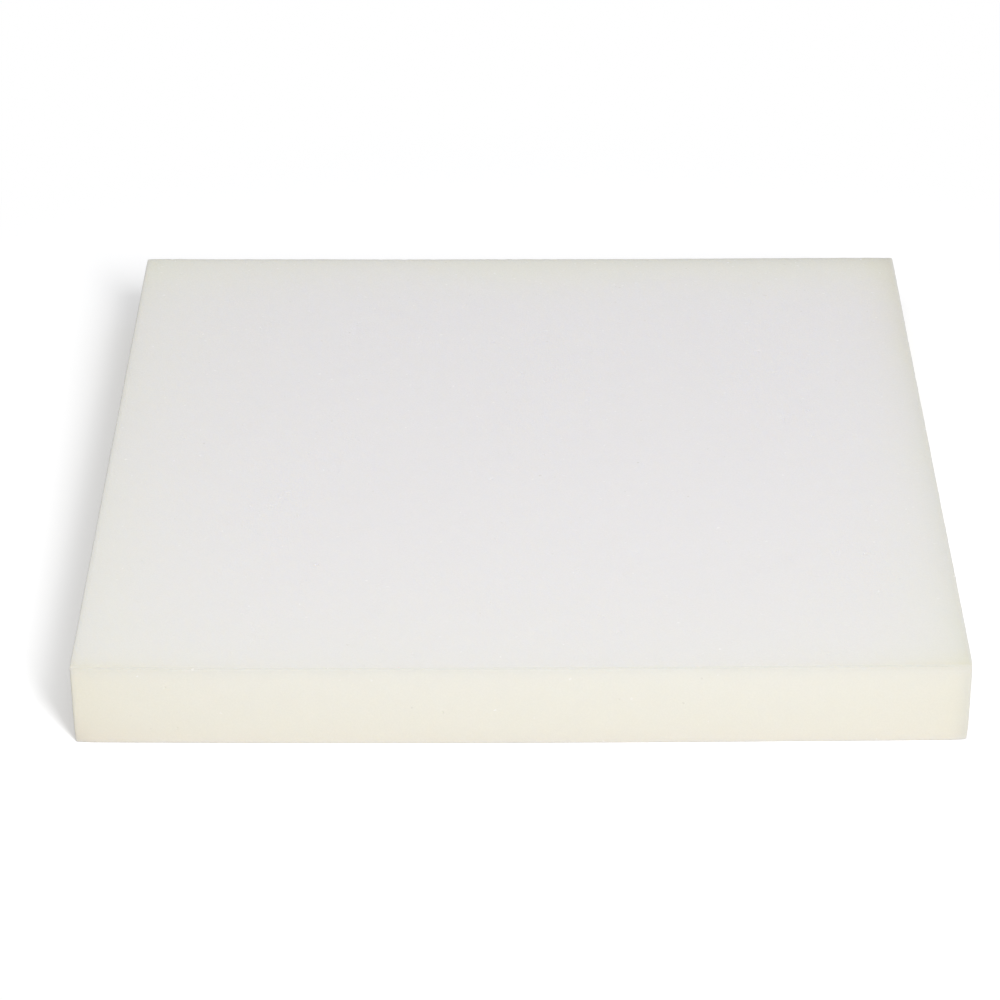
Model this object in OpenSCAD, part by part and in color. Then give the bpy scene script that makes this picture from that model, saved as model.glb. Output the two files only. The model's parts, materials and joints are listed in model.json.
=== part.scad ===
// Upholstery foam block: one square slab of flexible open-cell polyurethane foam, sawn
// from a larger bun. Sizes are in millimetres. The slab lies on its lower face with +Z up,
// and the origin is the middle of that face.

/* [Slab] */
// Width of the slab, from left to right
slab_w = 500; // [100:10:1200]
// Depth of the slab, from front to back
slab_d = 500; // [100:10:1200]
// Thickness of the slab
slab_t = 50; // [20:1:150]

/* [Softened edges] */
// Radius that the sawn edges round the upper face have relaxed to
top_arris_r = 2; // [0.5:0.5:3]
// Radius of the edges round the lower face, which the slab's own weight keeps crisper
base_arris_r = 1.5; // [0.5:0.5:3]
// Radius of the four upright corners in plan, which is over both arris radii
corner_r = 3.5; // [3.5:0.5:40]

/* [Finish] */
// Colour of the fresh foam
foam_colour = "ivory"; // [ivory, cornsilk, linen]

/* [Hidden] */
// Facets of a full circle, so that a small arris still draws smoothly
$fn = 64;
// The flat field inside the rim. The rim reaches in as far as the corner radius.
field_w = slab_w - 2 * corner_r;
field_d = slab_d - 2 * corner_r;
// How far the waste of an arris is drawn outside the sawn faces
overcut = 1;

// What an edge sheds as it relaxes: the square corner outside a quarter round of radius r
// that is centred on the origin and faces +X +Y
module arris_waste(r) {
    difference() {
        square(r + overcut);
        circle(r);
    }
}

// Section through the rim. X runs out to the upright sawn face, and Y is the height.
module rim_section() {
    difference() {
        square([corner_r, slab_t]);
        translate([corner_r - top_arris_r, slab_t - top_arris_r])
            arris_waste(top_arris_r);
        translate([corner_r - base_arris_r, base_arris_r])
            mirror([0, 1])
                arris_waste(base_arris_r);
    }
}

// A straight run of the rim, along Y, with its upright face towards +X
module rim_run(run) {
    translate([0, run / 2, 0])
        rotate([90, 0, 0])
            linear_extrude(height = run)
                rim_section();
}

// An upright corner in +X +Y: the same section turned about the corner's own centre
module rim_corner() {
    rotate_extrude(angle = 90)
        rim_section();
}

// The whole slab, one piece: the flat field, four straight runs and four turned corners
module foam_block() {
    color(foam_colour) {
        translate([-field_w / 2, -field_d / 2, 0])
            cube([field_w, field_d, slab_t]);
        for (half_turn = [0, 180]) {
            rotate([0, 0, half_turn])
                translate([field_w / 2, 0, 0])
                    rim_run(field_d);
            rotate([0, 0, half_turn + 90])
                translate([field_d / 2, 0, 0])
                    rim_run(field_w);
        }
        for (flip_x = [0, 1], flip_y = [0, 1])
            mirror([flip_x, 0, 0])
                mirror([0, flip_y, 0])
                    translate([field_w / 2, field_d / 2, 0])
                        rim_corner();
    }
}

foam_block();
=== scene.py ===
# Foam slab studio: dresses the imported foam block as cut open-cell upholstery foam, lying on a
# pale studio floor. Lengths are in metres and angles in radians, as in Blender.
import json
import math
import random

import bmesh
import bpy
from bpy.props import FloatProperty, FloatVectorProperty, IntProperty, PointerProperty
from mathutils import Matrix, Quaternion, Vector

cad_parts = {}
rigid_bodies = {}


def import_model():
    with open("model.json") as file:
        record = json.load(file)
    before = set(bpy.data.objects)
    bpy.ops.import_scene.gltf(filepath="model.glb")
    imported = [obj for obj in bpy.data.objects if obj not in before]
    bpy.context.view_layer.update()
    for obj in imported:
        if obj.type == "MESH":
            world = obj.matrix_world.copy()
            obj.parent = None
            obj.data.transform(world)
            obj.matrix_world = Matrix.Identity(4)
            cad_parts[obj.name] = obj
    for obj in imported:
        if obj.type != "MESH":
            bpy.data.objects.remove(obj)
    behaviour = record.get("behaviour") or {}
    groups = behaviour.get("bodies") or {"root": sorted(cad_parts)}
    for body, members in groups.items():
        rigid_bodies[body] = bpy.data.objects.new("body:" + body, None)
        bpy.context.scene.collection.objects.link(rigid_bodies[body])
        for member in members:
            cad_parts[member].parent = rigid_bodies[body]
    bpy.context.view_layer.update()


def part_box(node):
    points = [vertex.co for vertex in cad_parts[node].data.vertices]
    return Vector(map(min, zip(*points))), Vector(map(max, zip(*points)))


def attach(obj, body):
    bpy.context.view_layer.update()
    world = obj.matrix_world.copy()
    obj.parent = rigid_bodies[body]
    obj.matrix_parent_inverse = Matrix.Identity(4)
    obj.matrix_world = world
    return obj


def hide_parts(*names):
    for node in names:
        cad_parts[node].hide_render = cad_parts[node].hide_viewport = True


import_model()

bl_info = {
    "name": "Foam slab studio",
    "version": (1, 0, 0),
    "blender": (4, 5, 0),
    "location": "View3D > Sidebar > Foam",
    "description": "Dresses a sawn foam slab and sets a pale studio round it",
    "category": "Object",
}

NODE = "foam_block"
PIECE = "foam_slab"
REST = "sawn_place"
MM = 0.001
WHITE = (1.0, 1.0, 1.0, 1.0)

# Each size of opened pore: how many, how wide its lip and its wall are, and how deep it is
PORES = (
    (24, 0.25 * MM, 0.60 * MM, 0.36 * MM),
    (60, 0.50 * MM, 0.40 * MM, 0.28 * MM),
    (90, 0.75 * MM, 0.25 * MM, 0.22 * MM),
)

# What the foam's colour is multiplied by in a place
FRONT_ENDS_TINT = (0.992, 0.972, 0.885)
BACK_RIGHT_TINT = (0.980, 0.952, 0.952)
SIDE_TOP_TINT = (0.998, 1.002, 1.018)
SIDE_BASE_TINT = (0.978, 0.972, 0.955)
# Painted shade at the front right upright corner
FRONT_RIGHT_SHADE_TINT = (0.915, 0.928, 0.955)
# Painted shade near the floor
NEAR_FLOOR_SHADE_TINT = (0.972, 0.955, 0.965)
FRONT_ARRIS_TINT = (0.988, 0.972, 0.925)
FLOOR_TINT = (0.998, 1.0, 1.007)

SLAB_LOW, SLAB_HIGH = (Vector(corner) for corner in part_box(NODE))
SLAB_SIZE = SLAB_HIGH - SLAB_LOW
SLAB_MIDDLE = (SLAB_LOW + SLAB_HIGH) / 2


class FoamShape(bpy.types.PropertyGroup):
    """Sizes that the slab is sawn to and worn to"""

    pitch: FloatProperty(
        name="Mesh pitch", description="Side of a mesh cell on the sawn faces",
        default=2.65 * MM, min=1.5 * MM, unit="LENGTH", precision=5)
    rim: FloatProperty(
        name="Rim", description="Width of the mesh strip along each sawn edge",
        default=3.4 * MM, unit="LENGTH", precision=5)
    corner_radius: FloatProperty(
        name="Upright corner radius", description="Radius of the four upright edges in plan",
        default=1.4 * MM, unit="LENGTH", precision=5)
    top_radius: FloatProperty(
        name="Top arris radius", description="Radius of the edges round the upper face",
        default=0.6 * MM, unit="LENGTH", precision=5)
    base_radius: FloatProperty(
        name="Base arris radius", description="Radius of the edges round the lower face",
        default=0.5 * MM, unit="LENGTH", precision=5)
    front_bow: FloatProperty(
        name="Front bow", description="How far the front edge stands out where it is fullest",
        default=1.8 * MM, unit="LENGTH", precision=5)
    front_peak: FloatProperty(
        name="Front peak", description="Where the front edge is fullest, from the middle",
        default=-45 * MM, unit="LENGTH", precision=5)
    back_bow: FloatProperty(
        name="Back bow", description="How far the middle of the back edge falls in",
        default=1.5 * MM, unit="LENGTH", precision=5)
    rack_left: FloatProperty(
        name="Left rack", description="How far the back left corner stands out of square",
        default=1.0 * MM, unit="LENGTH", precision=5)
    rack_right: FloatProperty(
        name="Right rack", description="How far the back right corner falls short of square",
        default=1.0 * MM, unit="LENGTH", precision=5)
    top_wear: FloatProperty(
        name="Top corner wear", description="How far the four upper tips are rubbed back",
        default=0.25 * MM, unit="LENGTH", precision=5)
    base_wear: FloatProperty(
        name="Base corner wear", description="How far the four lower tips are rubbed back",
        default=0.75 * MM, unit="LENGTH", precision=5)
    corner_reach: FloatProperty(
        name="Corner wear reach", description="Distance from a tip at which the wear ends",
        default=14 * MM, unit="LENGTH", precision=5)
    sway: FloatProperty(
        name="Sway", description="Slow rise and fall that the saw leaves in a face",
        default=0.5 * MM, unit="LENGTH", precision=5)
    sway_length: FloatProperty(
        name="Sway length", description="Length of a slow rise",
        default=150 * MM, unit="LENGTH", precision=5)
    ripple: FloatProperty(
        name="Ripple", description="Short unevenness of the sawn faces",
        default=0.16 * MM, unit="LENGTH", precision=5)
    ripple_length: FloatProperty(
        name="Ripple length", description="Length of a short unevenness",
        default=22 * MM, unit="LENGTH", precision=5)
    nibble: FloatProperty(
        name="Nibble", description="Torn cells along the sawn edges",
        default=0.5 * MM, unit="LENGTH", precision=5)
    nibble_length: FloatProperty(
        name="Nibble length", description="Length of a torn place along an edge",
        default=5 * MM, unit="LENGTH", precision=5)
    nibble_reach: FloatProperty(
        name="Nibble reach", description="Distance from an edge at which the torn cells end",
        default=3.5 * MM, unit="LENGTH", precision=5)
    calm_height: FloatProperty(
        name="Calm height", description="Height over the base at which the unevenness is full",
        default=6 * MM, unit="LENGTH", precision=5)
    bow_fullness: FloatProperty(
        name="Bow fullness", description="How pointed the bow of the front edge is",
        default=1.3, subtype="FACTOR", min=0.5, max=3)
    pore_margin: FloatProperty(
        name="Pore margin", description="How far the opened pores stay from a sawn edge",
        default=5 * MM, unit="LENGTH", precision=5)
    pore_scatter: FloatProperty(
        name="Pore scatter", description="How far the rim of an opened pore is out of shape",
        default=0.25 * MM, unit="LENGTH", precision=5)
    seed: IntProperty(
        name="Seed", description="Chooses where the opened pores lie", default=41)


class FoamFinish(bpy.types.PropertyGroup):
    """Colours and grain of the foam"""

    core: FloatVectorProperty(
        name="Core", description="Colour of fresh foam in the middle of a sawn face",
        default=(0.813, 0.797, 0.804), subtype="COLOR", min=0, max=1)
    side: FloatVectorProperty(
        name="Side", description="Colour of the sides, which air and light have yellowed",
        default=(0.838, 0.816, 0.732), subtype="COLOR", min=0, max=1)
    edge_tint: FloatVectorProperty(
        name="Edge tint", description="What the fresh colour is multiplied by at the edges",
        default=(1.0, 1.009, 0.945), subtype="COLOR", min=0, max=2)
    side_end: FloatVectorProperty(
        name="Side end", description="Colour of the sides towards their ends",
        default=(0.826, 0.793, 0.674), subtype="COLOR", min=0, max=1)
    stain: FloatVectorProperty(
        name="Stain", description="Colour of the sides low down at the left, where it was handled",
        default=(0.795, 0.745, 0.642), subtype="COLOR", min=0, max=1)
    # Painted light along the foot of the sides, against the shade where they meet the floor
    painted_base_light: FloatVectorProperty(
        name="Base line", description="Colour of the sides where they meet the floor",
        default=(0.915, 0.885, 0.79), subtype="COLOR", min=0, max=1)
    # Painted shade just under the upper edge, against the highlight of its rounding
    top_edge_shade: FloatVectorProperty(
        name="Top line", description="Colour of the sides just under the upper face",
        default=(0.722, 0.722, 0.694), subtype="COLOR", min=0, max=1)
    # Painted shade: a broad strip along the upper edges, against their highlight
    rubbed: FloatVectorProperty(
        name="Rubbed", description="Colour of the strip along the upper edges",
        default=(0.70, 0.69, 0.63), subtype="COLOR", min=0, max=1)
    # Painted shade on the upper edges themselves, against their highlight
    arris: FloatVectorProperty(
        name="Arris", description="Colour of the torn cells on the upper edges themselves",
        default=(0.58, 0.575, 0.53), subtype="COLOR", min=0, max=1)
    # Painted shade along the four upright edges
    upright: FloatVectorProperty(
        name="Upright", description="Colour of the four upright edges",
        default=(0.74, 0.73, 0.69), subtype="COLOR", min=0, max=1)
    # Painted highlight for the few cells that glint
    painted_glint: FloatVectorProperty(
        name="Glint", description="Colour of the few cell walls that catch the light",
        default=(0.95, 0.94, 0.93), subtype="COLOR", min=0, max=1)
    # Painted shade in the few deep cells
    pore: FloatVectorProperty(
        name="Pore", description="Colour of the few cells that the saw left deep",
        default=(0.60, 0.57, 0.50), subtype="COLOR", min=0, max=1)
    cell: FloatProperty(
        name="Cell", description="Width of one foam cell",
        default=1.1 * MM, unit="LENGTH", precision=5)
    roughness: FloatProperty(
        name="Roughness", description="Roughness of the cut cell walls",
        default=0.92, subtype="FACTOR", min=0, max=1)


class FoamStage(bpy.types.PropertyGroup):
    """Camera, lamps and floor"""

    target: FloatVectorProperty(
        name="Target", description="Point on the floor that the camera looks at",
        default=(-12.6 * MM, 15.5 * MM, 0.0), subtype="TRANSLATION")
    distance: FloatProperty(
        name="Distance", description="From the camera to its target",
        default=2.262, unit="LENGTH")
    pitch: FloatProperty(
        name="Pitch", description="How far the camera looks down",
        default=math.radians(30.632), subtype="ANGLE")
    yaw: FloatProperty(
        name="Yaw", description="How far the camera looks to the right",
        default=math.radians(-0.385), subtype="ANGLE")
    roll: FloatProperty(
        name="Roll", description="How far the camera leans to the left",
        default=math.radians(-0.373), subtype="ANGLE")
    lens: FloatProperty(
        name="Lens", description="Focal length in millimetres",
        default=130.7, unit="CAMERA")
    key_place: FloatVectorProperty(
        name="Key lamp place", description="Where the large soft lamp hangs",
        default=(1.55, -3.385, 2.7), subtype="TRANSLATION")
    key_feather: FloatProperty(
        name="Key lamp feather",
        description="How far the lamp is turned past the slab, so that its light falls evenly",
        default=math.radians(28.5), subtype="ANGLE")
    key_width: FloatProperty(
        name="Key lamp width", description="Width of the large soft lamp",
        default=1.1, unit="LENGTH")
    key_height: FloatProperty(
        name="Key lamp height", description="Height of the large soft lamp",
        default=2.2, unit="LENGTH")
    key_power: FloatProperty(
        name="Key lamp power", description="Power of the large soft lamp in watts",
        default=112.3, unit="POWER")
    front_place: FloatVectorProperty(
        name="Front lamp place", description="Where the weak lamp in front hangs",
        default=(-0.04, -1.1, 1.6), subtype="TRANSLATION")
    front_size: FloatProperty(
        name="Front lamp size", description="Side of the weak lamp in front",
        default=1.04, unit="LENGTH")
    front_power: FloatProperty(
        name="Front lamp power", description="Power of the weak lamp in front in watts",
        default=8.35, unit="POWER")
    fill: FloatProperty(
        name="Fill", description="Strength of the even light from all round",
        default=0.52)
    floor_size: FloatProperty(
        name="Floor size", description="Side of the floor", default=12.0, unit="LENGTH")
    floor_lift: FloatProperty(
        name="Floor lift", description="What the seen floor adds to the light that falls on it",
        default=0.087, subtype="FACTOR", min=0, max=1)
    white_from: FloatProperty(
        name="White from", description="How far from the middle the floor begins to run out",
        default=0.42, unit="LENGTH")
    white_to: FloatProperty(
        name="White to", description="How far from the middle the floor is plain white",
        default=0.58, unit="LENGTH")


def rgba(colour, tint=(1.0, 1.0, 1.0)):
    """An opaque colour, multiplied by a tint"""
    return (*(share * factor for share, factor in zip(colour, tint)), 1.0)


class Graph:
    """The node tree of a material or a world, with one short call for each kind of node"""

    def __init__(self, holder):
        self.holder = holder
        self.holder.use_nodes = True
        self.tree = self.holder.node_tree
        self.tree.nodes.clear()

    def add(self, kind, inputs=(), **settings):
        made = self.tree.nodes.new(kind)
        for key, value in settings.items():
            setattr(made, key, value)
        for key, value in dict(inputs).items():
            self.put(made.inputs[key], value)
        return made

    def put(self, socket, value):
        if isinstance(value, bpy.types.NodeSocket):
            self.tree.links.new(value, socket)
        else:
            socket.default_value = value

    def maths(self, operation, *values, clamp=False):
        made = self.add("ShaderNodeMath", enumerate(values), operation=operation, use_clamp=clamp)
        return made.outputs[0]

    def total(self, *values):
        whole = values[0]
        for value in values[1:]:
            whole = self.maths("ADD", whole, value)
        return whole

    def times(self, first, second):
        return self.maths("MULTIPLY", first, second)

    def less(self, first, second):
        return self.maths("SUBTRACT", first, second)

    def blend(self, factor, first, second, kind="MIX", clamp=True):
        made = self.add(
            "ShaderNodeMix", {0: factor, 6: first, 7: second}, data_type="RGBA", blend_type=kind,
            clamp_factor=clamp)
        return made.outputs[2]

    def tinted(self, factor, colour, tint):
        """The colour multiplied by a tint, where the factor is 1"""
        return self.blend(factor, colour, tint, "MULTIPLY")

    def ramp(self, kind, value, low, high, start, end):
        made = self.add(
            "ShaderNodeMapRange",
            {"Value": value, "From Min": low, "From Max": high, "To Min": start, "To Max": end},
            interpolation_type=kind)
        return made.outputs["Result"]

    def linear(self, value, low, high, start, end):
        return self.ramp("LINEAR", value, low, high, start, end)

    def smooth(self, value, low, high, start, end):
        return self.ramp("SMOOTHSTEP", value, low, high, start, end)

    def noise(self, place, length, detail=2.0, roughness=0.5):
        made = self.add(
            "ShaderNodeTexNoise",
            {"Vector": place, "Scale": 1 / length, "Detail": detail, "Roughness": roughness})
        return made.outputs["Fac"]

    def centred(self, fraction):
        """A fraction from 0 to 1, moved to lie about 0"""
        return self.less(fraction, 0.5)

    def fade(self, distance, reach, share=1.0):
        """The share, which falls off as the distance grows past the reach"""
        inward = self.maths("MAXIMUM", distance, 0.0)
        return self.times(self.maths("EXPONENT", self.times(inward, -1 / reach)), share)

    def bell(self, distance, width, share=1.0):
        """The share, which falls off on both sides of the distance 0"""
        square = self.maths("POWER", self.times(distance, 1 / width), 2.0)
        return self.times(self.maths("EXPONENT", self.times(square, -1.0)), share)


def deselect_all():
    for thing in bpy.context.view_layer.objects:
        thing.select_set(False)
    bpy.context.view_layer.objects.active = None


def select_where(piece, kind, rule):
    """Selects what passes the rule among an edited piece's VERT, EDGE or FACE, and counts it"""
    bpy.ops.mesh.select_mode(type=kind)
    bpy.ops.mesh.select_all(action="DESELECT")
    mesh = bmesh.from_edit_mesh(piece.data)
    chosen = [part for part in {"VERT": mesh.verts, "EDGE": mesh.edges, "FACE": mesh.faces}[kind]
              if rule(part)]
    for part in chosen:
        part.select_set(True)
    mesh.select_flush_mode()
    bmesh.update_edit_mesh(piece.data)
    return len(chosen)


def runs_along(axis, least):
    """A rule for edges that run along an axis and are longer than least"""
    def rule(edge):
        run = edge.verts[1].co - edge.verts[0].co
        return abs(run[axis]) > least and abs(run[axis]) > 0.999 * run.length
    return rule


def lies_on(*planes):
    """A rule for edges that lie wholly on each of the given planes, as (axis, place)"""
    def rule(edge):
        return all(
            abs(vert.co[axis] - place) < 0.01 * MM for vert in edge.verts for axis, place in planes)
    return rule


def sawn_blank(shape):
    """A cube of the slab's size, cut into cells, with its twelve edges rounded"""
    bpy.ops.mesh.primitive_cube_add(size=1, location=SLAB_MIDDLE, scale=SLAB_SIZE)
    piece = bpy.context.active_object
    piece.name = PIECE
    piece.data.name = PIECE
    bpy.ops.object.transform_apply(location=True, rotation=True, scale=True)
    bpy.ops.object.mode_set(mode="EDIT")
    for axis in range(3):
        normal = [0, 0, 0]
        normal[axis] = 1
        for place in (SLAB_LOW[axis] + shape.rim, SLAB_HIGH[axis] - shape.rim):
            bpy.ops.mesh.select_all(action="SELECT")
            cut = [0, 0, 0]
            cut[axis] = place
            bpy.ops.mesh.bisect(plane_co=cut, plane_no=normal)
    for axis in range(3):
        # One call makes 100 cuts at the most, so the cells are cut in pairs and then halved
        field = SLAB_SIZE[axis] - 2 * shape.rim
        pairs = max(1, round(field / shape.pitch / 2))
        select_where(piece, "EDGE", runs_along(axis, field / 2))
        bpy.ops.mesh.subdivide(number_cuts=pairs - 1)
        select_where(piece, "EDGE", runs_along(axis, 0.75 * field / pairs))
        bpy.ops.mesh.subdivide(number_cuts=1)
    round_edges(piece, shape)
    bpy.ops.object.mode_set(mode="OBJECT")
    return piece


def round_edges(piece, shape):
    """Rounds the upright edges, then the edges round the upper and the lower face"""
    sides = [(axis, place[axis]) for axis in (0, 1) for place in (SLAB_LOW, SLAB_HIGH)]
    uprights = [(first, second) for first in sides[:2] for second in sides[2:]]
    select_where(piece, "EDGE", lambda edge: any(lies_on(*pair)(edge) for pair in uprights))
    bpy.ops.mesh.bevel(offset=shape.corner_radius, segments=3, affect="EDGES")
    for height, radius in ((SLAB_HIGH.z, shape.top_radius), (SLAB_LOW.z, shape.base_radius)):
        on_face = lies_on((2, height))
        select_where(piece, "EDGE", lambda edge: on_face(edge) and any(
            abs(face.normal.z) < 0.5 for face in edge.link_faces))
        bpy.ops.mesh.bevel(offset=radius, segments=3, affect="EDGES")


def edge_gaps(place):
    """How far a place lies inside the slab along each axis"""
    half = SLAB_SIZE / 2
    return [half[axis] - abs(place[axis] - SLAB_MIDDLE[axis]) for axis in range(3)]


def arris_gap(place):
    """How far a place on the slab lies from the nearest sawn edge"""
    return sorted(edge_gaps(place))[1]


def open_pores(piece, shape):
    """Sinks the larger pores that the saw cut open into the faces, as small cups"""
    draw = random.Random(shape.seed)
    bpy.ops.object.mode_set(mode="EDIT")
    whole_cell = 0.8 * shape.pitch ** 2

    def holds_pore(place):
        """The base keeps its flat cut where it rests on the floor, and the edges stay whole"""
        return place.z > SLAB_LOW.z + shape.rim / 2 and arris_gap(place) > shape.pore_margin

    drawn = set()
    for count, lip, wall, depth in PORES:
        mesh = bmesh.from_edit_mesh(piece.data)
        mesh.faces.ensure_lookup_table()
        whole = [face.index for face in mesh.faces
                 if face.calc_area() > whole_cell and face.index not in drawn]
        picks = draw.sample(whole, count)
        drawn.update(picks)
        chosen = {index for index in picks
                  if holds_pore(mesh.faces[index].calc_center_median())}
        select_where(piece, "FACE", lambda face: face.index in chosen)
        bpy.ops.mesh.inset(thickness=lip, depth=0, use_individual=True)
        bpy.ops.transform.vertex_random(offset=shape.pore_scatter, seed=shape.seed)
        bpy.ops.mesh.inset(thickness=wall, depth=-depth, use_individual=True)
    bpy.ops.object.mode_set(mode="OBJECT")


def keep_sawn_place(piece):
    """Stores where each vertex lies on the true slab, for the finish to read after the wear"""
    attribute = piece.data.attributes.new(REST, "FLOAT_VECTOR", "POINT")
    places = [0.0] * (3 * len(piece.data.vertices))
    piece.data.vertices.foreach_get("co", places)
    attribute.data.foreach_set("vector", places)


def press(piece, name, weight, strength, direction="NORMAL", texture=None):
    """Moves the vertices by a weight from 0 to 1, along a direction and by a texture if given"""
    group = piece.vertex_groups.new(name=name)
    for vert in piece.data.vertices:
        share = weight(vert.co)
        if share > 0:
            group.add([vert.index], share, "REPLACE")
    move = piece.modifiers.new(name, "DISPLACE")
    move.vertex_group = name
    move.direction = direction
    move.strength = strength
    move.mid_level = 0.0
    if texture is not None:
        move.texture = texture
        move.texture_coords = "LOCAL"
        move.mid_level = 0.5
    bpy.ops.object.modifier_apply(modifier=name)
    piece.vertex_groups.remove(piece.vertex_groups[name])


def clouds(name, length, depth=1):
    texture = bpy.data.textures.new(name, "CLOUDS")
    texture.noise_scale = length
    texture.noise_depth = depth
    return texture


def wear(piece, shape):
    """Bows the sawn edges, rubs the tips back and makes the faces uneven"""
    half = SLAB_SIZE / 2

    def arch(place, peak=0.0):
        gap = place.x - SLAB_MIDDLE.x - peak
        reach = half.x + (peak if gap < 0 else -peak)
        return max(0.0, 1 - (gap / reach) ** 2)

    def rightward(place):
        return (place.x - SLAB_MIDDLE.x) / half.x

    def backward(place):
        return max(0.0, (place.y - SLAB_MIDDLE.y) / half.y) ** 2

    def front(place):
        forward = max(0.0, (SLAB_MIDDLE.y - place.y) / half.y) ** 2
        return arch(place, shape.front_peak) ** shape.bow_fullness * forward

    def tip(place):
        far = math.sqrt(sum(gap * gap for gap in edge_gaps(place)))
        return max(0.0, 1 - far / shape.corner_reach) ** 2

    def top_tip(place):
        return tip(place) if place.z > SLAB_MIDDLE.z else 0.0

    def base_tip(place):
        return tip(place) if place.z < SLAB_MIDDLE.z else 0.0

    def off_floor(place):
        return min(1.0, max(0.0, (place.z - SLAB_LOW.z) / shape.calm_height))

    def torn(place):
        return max(0.0, 1 - arris_gap(place) / shape.nibble_reach) * off_floor(place)

    press(piece, "top tips", top_tip, -shape.top_wear)
    press(piece, "base tips", base_tip, -shape.base_wear)
    press(piece, "nibble", torn, shape.nibble, texture=clouds("nibble", shape.nibble_length, 2))
    press(piece, "ripple", off_floor, shape.ripple, texture=clouds("ripple", shape.ripple_length))
    press(piece, "sway", off_floor, shape.sway, texture=clouds("sway", shape.sway_length))
    press(piece, "front bow", front, -shape.front_bow, "Y")
    press(piece, "back bow", lambda place: arch(place) * backward(place), -shape.back_bow, "Y")
    press(piece, "rack left", lambda place: -rightward(place) * backward(place),
          shape.rack_left, "Y")
    press(piece, "rack right", lambda place: rightward(place) * backward(place),
          -shape.rack_right, "Y")


class SlabPlace:
    """Where a spot lies on the sawn slab, as distances and shares that the finish follows"""

    def __init__(self, foam):
        sawn = foam.add("ShaderNodeAttribute", attribute_name=REST).outputs["Vector"]
        x, y, z = foam.add("ShaderNodeSeparateXYZ", {0: sawn}).outputs
        self.left = foam.less(x, SLAB_LOW.x)
        self.right = foam.less(SLAB_HIGH.x, x)
        self.front = foam.less(y, SLAB_LOW.y)
        self.back = foam.less(SLAB_HIGH.y, y)
        self.over = foam.less(z, SLAB_LOW.z)
        self.under = foam.less(SLAB_HIGH.z, z)
        self.across = foam.maths("MINIMUM", self.left, self.right)
        self.along = foam.maths("MINIMUM", self.front, self.back)
        # From the nearest side, from the nearest upright edge and from the nearest upper edge
        self.inward = foam.maths("MINIMUM", self.across, self.along)
        self.upright = foam.maths("MAXIMUM", self.across, self.along)
        self.arris = foam.maths("MAXIMUM", self.inward, self.under)
        # Shares from 0 at the left, the front and the middle to 1 at the right and the back
        self.rightward = foam.linear(x, SLAB_LOW.x, SLAB_HIGH.x, 0.0, 1.0)
        self.rearward = foam.linear(y, SLAB_LOW.y, SLAB_HIGH.y, 0.0, 1.0)
        self.backward = foam.linear(y, SLAB_MIDDLE.y, SLAB_HIGH.y, 0.0, 1.0)
        # From 1 at a side to 0 on the upper and the lower face
        self.is_side = foam.smooth(self.inward, 0.2 * MM, 2.2 * MM, 1.0, 0.0)
        # From 1 at the front edge's two ends to 0 further in
        self.front_ends = foam.times(
            foam.fade(self.front, reach=9 * MM), foam.fade(self.across, reach=60 * MM))


def yellowing(foam, at, place):
    """How far the upper face has yellowed: it starts at the edges and creeps in unevenly"""
    patch = foam.noise(place, 90 * MM, detail=3.0)
    drift = foam.times(foam.centred(patch), 40 * MM)
    narrowing = foam.linear(at.front, 90 * MM, SLAB_SIZE.y - 90 * MM, 0.6, 1.35)
    from_left = foam.fade(foam.maths("ADD", at.left, drift), reach=45 * MM, share=0.95)
    from_front = foam.fade(foam.maths("ADD", at.front, drift), reach=70 * MM, share=0.7)
    from_right = foam.fade(
        foam.maths("ADD", foam.times(at.right, narrowing), drift), reach=18 * MM, share=1.3)
    from_back = foam.bell(
        foam.maths("ADD", at.back, drift), width=40 * MM,
        share=foam.linear(at.rightward, 0.0, 0.5, 0.85, 1.35))
    near = foam.maths("ADD", from_left, from_front, clamp=True)
    return foam.maths("MINIMUM", foam.total(near, from_right, from_back), 1.9)


def face_colour(foam, at, place, finish):
    """The upper face: fresh in the middle and yellowed towards its edges, and a little darker
    towards its edges by painted shade
    """
    face = foam.blend(
        yellowing(foam, at, place), rgba(finish.core), rgba(finish.core, finish.edge_tint),
        clamp=False)
    # Painted shade: darker along each edge and a little darker over broad bands towards the front,
    # the left and the right, with a little painted light towards the back
    painted_shade = foam.total(
        foam.fade(at.left, reach=9 * MM, share=0.044),
        foam.fade(at.left, reach=110 * MM, share=0.008),
        foam.fade(at.right, reach=8 * MM, share=0.100),
        foam.fade(at.right, reach=30 * MM, share=0.018),
        foam.fade(at.back, reach=10 * MM, share=foam.linear(at.rightward, 0.0, 1.0, 0.048, 0.116)),
        foam.fade(at.back, reach=4 * MM, share=0.040),
        foam.times(at.backward, -0.006),
        foam.fade(at.front, reach=6 * MM, share=0.012),
        foam.fade(at.front, reach=110 * MM, share=0.014))
    face = foam.tinted(1.0, face, foam.less(1.0, painted_shade))
    face = foam.tinted(at.front_ends, face, rgba(FRONT_ENDS_TINT))
    back_right = foam.times(foam.fade(at.right, reach=18 * MM), at.backward)
    return foam.tinted(back_right, face, rgba(BACK_RIGHT_TINT))


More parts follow.
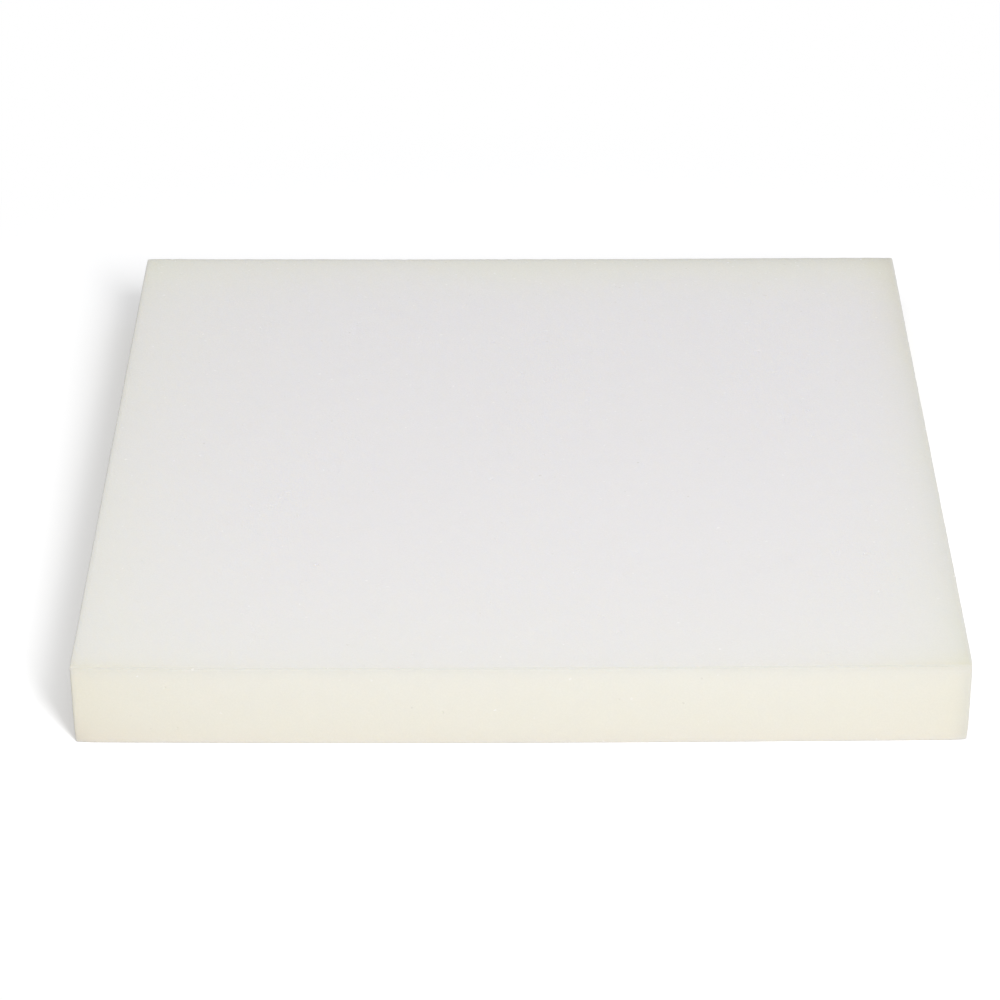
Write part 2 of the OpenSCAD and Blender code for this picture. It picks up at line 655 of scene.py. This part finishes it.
def side_colour(foam, at, finish):
    """The sides: yellowed all over, deeper towards their ends and at the handled lower left, with
    painted shade and painted light near their edges and the floor
    """
    side = foam.blend(
        foam.linear(at.under, 0.0, 45 * MM, 0.0, 1.0),
        rgba(finish.side, SIDE_TOP_TINT), rgba(finish.side, SIDE_BASE_TINT))
    end = foam.fade(
        at.upright, reach=35 * MM, share=foam.linear(at.rightward, 0.0, 1.0, 1.0, 0.65))
    side = foam.blend(end, side, rgba(finish.side_end))
    stain = foam.times(foam.fade(at.left, reach=30 * MM), foam.bell(at.over, width=16 * MM))
    side = foam.blend(foam.times(stain, 0.8), side, rgba(finish.stain))
    # Painted light: the line along the floor is pale, and less so at the left
    pale = foam.less(1.0, foam.fade(at.left, reach=30 * MM, share=0.7))
    side = foam.blend(
        foam.fade(at.over, reach=1.5 * MM, share=pale), side, rgba(finish.painted_base_light))
    # Painted shade: darker along the upright edges and towards the left, away from the key lamp
    painted_shade = foam.total(
        foam.fade(at.upright, reach=6 * MM, share=0.03),
        foam.fade(at.left, reach=180 * MM, share=0.022))
    side = foam.tinted(1.0, side, foam.less(1.0, painted_shade))
    # Painted shade: a little darker within a few millimetres of the floor
    side = foam.tinted(foam.fade(at.over, reach=6 * MM), side, rgba(NEAR_FLOOR_SHADE_TINT))
    # Painted shade: darker and cooler on the front face where it turns round the right upright edge
    front_right_shade = foam.times(foam.bell(at.right, width=5.5 * MM), foam.fade(at.front, reach=8 * MM))
    side = foam.tinted(front_right_shade, side, rgba(FRONT_RIGHT_SHADE_TINT))
    # Painted shade: darker just under the upper edge, against the highlight of its rounding
    return foam.blend(
        foam.fade(at.under, reach=3.2 * MM, share=0.82), side, rgba(finish.top_edge_shade))


def edge_colour(foam, at, colour, finish):
    """The sawn edges: darkened by painted shade against the highlight of their rounding, and warmer
    towards the front ends
    """
    # Painted shade: a broad strip and a narrow line along the upper edges
    colour = foam.blend(
        foam.bell(at.arris, width=2.4 * MM, share=0.25), colour, rgba(finish.rubbed))
    colour = foam.blend(
        foam.bell(at.arris, width=0.7 * MM, share=0.55), colour, rgba(finish.arris))
    colour = foam.tinted(
        foam.bell(at.arris, width=2.4 * MM, share=at.front_ends), colour, rgba(FRONT_ARRIS_TINT))
    # Painted shade along the four upright edges
    return foam.blend(
        foam.bell(at.upright, width=1.3 * MM, share=0.35), colour, rgba(finish.upright))


def foam_material(finish):
    """Open-cell foam: fresh and cool in the middle of a face, yellowed at its edges and darker
    there by painted shade
    """
    foam = Graph(bpy.data.materials.new("open_cell_foam"))
    place = foam.add("ShaderNodeTexCoord").outputs["Object"]
    at = SlabPlace(foam)
    colour = foam.blend(
        at.is_side, face_colour(foam, at, place, finish), side_colour(foam, at, finish))
    colour = edge_colour(foam, at, colour, finish)

    # The saw left the cut coarser towards the back, and finer on the sides
    coarser = foam.maths("POWER", at.rearward, 2.0)
    rough_cut = foam.times(
        foam.linear(at.is_side, 0.0, 1.0, 1.0, 0.8), foam.linear(coarser, 0.0, 1.0, 0.66, 1.10))
    cell = foam.add("ShaderNodeTexVoronoi", {"Vector": place, "Scale": 1 / finish.cell})
    depth = cell.outputs["Distance"]
    fleck = foam.centred(foam.noise(place, 1.6 * MM, detail=3.0, roughness=0.6))
    mottle = foam.centred(foam.noise(place, 14 * MM))
    # The cell term is painted shade, darker in each cell's hollow and paler on its rim; the flecks
    # and the mottle are tone
    grain = foam.total(
        foam.times(foam.less(depth, 0.45), 0.046),
        foam.times(fleck, 0.056),
        foam.times(mottle, 0.02))
    grain = foam.maths("ADD", foam.times(grain, rough_cut), 1.0)
    colour = foam.tinted(1.0, colour, grain)

    # Each cell draws a chance: the highest ones get a painted glint and the lowest ones painted
    # shade as deep pores
    chance = foam.add("ShaderNodeSeparateColor", {0: cell.outputs["Color"]}).outputs[0]
    glint_least = foam.linear(coarser, 0.0, 1.0, 0.9990, 0.9950)
    pore_most = foam.linear(coarser, 0.0, 1.0, 0.0001, 0.0014)
    painted_glint = foam.linear(chance, glint_least, 1.0, 0.0, 1.0)
    pore = foam.linear(chance, pore_most, 0.0, 0.0, 1.0)
    colour = foam.blend(foam.times(painted_glint, 0.58), colour, rgba(finish.painted_glint))
    # Painted shade darkens the deep pores
    colour = foam.blend(foam.times(pore, 0.42), colour, rgba(finish.pore))

    bump = foam.add("ShaderNodeBump", {
        "Height": foam.total(foam.times(depth, 0.9), foam.times(fleck, 1.2)),
        "Distance": 0.10 * MM,
        "Strength": foam.times(foam.linear(at.is_side, 0.0, 1.0, 0.75, 0.36), rough_cut),
    })
    rough = foam.linear(
        foam.noise(place, 4 * MM), 0.3, 0.7, finish.roughness - 0.05, finish.roughness + 0.05)
    shader = foam.add("ShaderNodeBsdfPrincipled", {
        "Base Color": colour,
        "Roughness": rough,
        "Normal": bump.outputs[0],
        "Specular IOR Level": 0.2,
        "Subsurface Weight": 0.3,
        "Subsurface Radius": (1.0, 0.9, 0.7),
        "Subsurface Scale": 3 * MM,
        "Sheen Weight": 0.08,
        "Sheen Roughness": 0.6,
    })
    foam.add("ShaderNodeOutputMaterial", {"Surface": shader.outputs[0]})
    return foam.holder


def seen_directly(graph):
    """1 where the camera, a reflection or a refraction sees the surface, and else 0"""
    path = graph.add("ShaderNodeLightPath")
    seen = graph.maths("MAXIMUM", path.outputs["Is Camera Ray"], path.outputs["Is Glossy Ray"])
    return graph.maths("MAXIMUM", seen, path.outputs["Is Transmission Ray"])


def floor_material(stage):
    """A pale floor that keeps the slab's shadow near it and runs out to plain white"""
    floor = Graph(bpy.data.materials.new("pale_studio_floor"))
    place = floor.add("ShaderNodeTexCoord").outputs["Object"]
    far = floor.add("ShaderNodeVectorMath", {0: place}, operation="LENGTH").outputs["Value"]
    shade = floor.linear(floor.noise(place, 3 * MM), 0.3, 0.7, 0.938, 0.948)
    shade = floor.tinted(1.0, rgba(FLOOR_TINT), shade)
    paper = floor.add("ShaderNodeBsdfDiffuse", {"Color": shade, "Roughness": 0.5})
    dull = floor.add("ShaderNodeBsdfDiffuse", {"Color": rgba((0.6, 0.6, 0.6))})
    lift = floor.add("ShaderNodeEmission", {"Color": WHITE, "Strength": stage.floor_lift})
    lifted = floor.add("ShaderNodeAddShader", {0: paper.outputs[0], 1: lift.outputs[0]})
    white = floor.add("ShaderNodeEmission", {"Color": WHITE, "Strength": 1.0})
    run_out = floor.smooth(far, stage.white_from, stage.white_to, 0.0, 1.0)
    shown = floor.add(
        "ShaderNodeMixShader", {0: run_out, 1: lifted.outputs[0], 2: white.outputs[0]})
    whole = floor.add(
        "ShaderNodeMixShader",
        {0: seen_directly(floor), 1: dull.outputs[0], 2: shown.outputs[0]})
    floor.add("ShaderNodeOutputMaterial", {"Surface": whole.outputs[0]})
    return floor.holder


def studio_air(stage):
    """Even light from all round, which the camera sees as plain white"""
    air = Graph(bpy.data.worlds.new("studio_air"))
    strength = air.linear(seen_directly(air), 0.0, 1.0, stage.fill, 1.0)
    light = air.add("ShaderNodeBackground", {"Color": WHITE, "Strength": strength})
    air.add("ShaderNodeOutputWorld", {"Surface": light.outputs[0]})
    return air.holder


class FOAM_OT_slab(bpy.types.Operator):
    """Saws, wears and finishes the foam slab in the place of its plain solid"""

    bl_idname = "foam.slab"
    bl_label = "Foam slab"
    bl_options = {"REGISTER", "UNDO"}

    def execute(self, context):
        shape = context.scene.foam_shape
        deselect_all()
        piece = sawn_blank(shape)
        open_pores(piece, shape)
        keep_sawn_place(piece)
        wear(piece, shape)
        bpy.ops.object.shade_smooth_by_angle(angle=math.radians(60))
        piece.data.materials.append(foam_material(context.scene.foam_finish))
        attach(piece, "root")
        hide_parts(NODE)
        return {"FINISHED"}


class FOAM_OT_stage(bpy.types.Operator):
    """Sets the floor, the air, the lamps and the camera"""

    bl_idname = "foam.stage"
    bl_label = "Studio stage"
    bl_options = {"REGISTER", "UNDO"}

    def execute(self, context):
        stage = context.scene.foam_stage
        deselect_all()
        bpy.ops.mesh.primitive_plane_add(size=stage.floor_size, location=(0, 0, SLAB_LOW.z))
        floor = context.active_object
        floor.name = "studio_floor"
        floor.data.materials.append(floor_material(stage))
        context.scene.world = studio_air(stage)
        self.hang_lamp(
            context, "key_lamp", stage.key_place, (stage.key_width, stage.key_height),
            stage.key_power, stage.key_feather)
        self.hang_lamp(
            context, "front_lamp", stage.front_place, (stage.front_size, stage.front_size),
            stage.front_power, 0.0)
        self.stand_camera(context, stage)
        context.scene.view_settings.view_transform = "Standard"
        return {"FINISHED"}

    def hang_lamp(self, context, name, place, size, power, feather):
        deselect_all()
        bpy.ops.object.light_add(type="AREA", location=place)
        lamp = context.active_object
        lamp.name = name
        lamp.data.shape = "RECTANGLE"
        lamp.data.size, lamp.data.size_y = size
        lamp.data.energy = power
        facing = (SLAB_MIDDLE - Vector(place)).to_track_quat("-Z", "Y")
        lamp.rotation_euler = (facing @ Quaternion((0, 1, 0), feather)).to_euler()

    def stand_camera(self, context, stage):
        turn = (
            Matrix.Rotation(-stage.yaw, 4, "Z")
            @ Matrix.Rotation(math.pi / 2 - stage.pitch, 4, "X")
            @ Matrix.Rotation(stage.roll, 4, "Z"))
        back = turn @ Vector((0, 0, stage.distance))
        deselect_all()
        bpy.ops.object.camera_add()
        camera = context.active_object
        camera.name = "studio_camera"
        camera.data.lens = stage.lens
        camera.data.sensor_width = 36
        camera.matrix_world = Matrix.Translation(Vector(stage.target) + back) @ turn
        context.scene.camera = camera


class FOAM_PT_studio(bpy.types.Panel):
    """The slab's and the stage's settings, with a button for each"""

    bl_idname = "FOAM_PT_studio"
    bl_label = "Foam slab studio"
    bl_space_type = "VIEW_3D"
    bl_region_type = "UI"
    bl_category = "Foam"

    def draw(self, context):
        for title, group, button in (
                ("Shape", context.scene.foam_shape, FOAM_OT_slab.bl_idname),
                ("Finish", context.scene.foam_finish, None),
                ("Stage", context.scene.foam_stage, FOAM_OT_stage.bl_idname)):
            box = self.layout.box()
            box.label(text=title)
            for name in group.__annotations__:
                box.prop(group, name)
            if button is not None:
                box.operator(button)


CLASSES = (FoamShape, FoamFinish, FoamStage, FOAM_OT_slab, FOAM_OT_stage, FOAM_PT_studio)


def register():
    for kind in CLASSES:
        bpy.utils.register_class(kind)
    bpy.types.Scene.foam_shape = PointerProperty(type=FoamShape)
    bpy.types.Scene.foam_finish = PointerProperty(type=FoamFinish)
    bpy.types.Scene.foam_stage = PointerProperty(type=FoamStage)


def unregister():
    for name in ("foam_shape", "foam_finish", "foam_stage"):
        delattr(bpy.types.Scene, name)
    for kind in reversed(CLASSES):
        bpy.utils.unregister_class(kind)


def main():
    register()
    bpy.ops.foam.slab()
    bpy.ops.foam.stage()


if __name__ == "__main__":
    main()
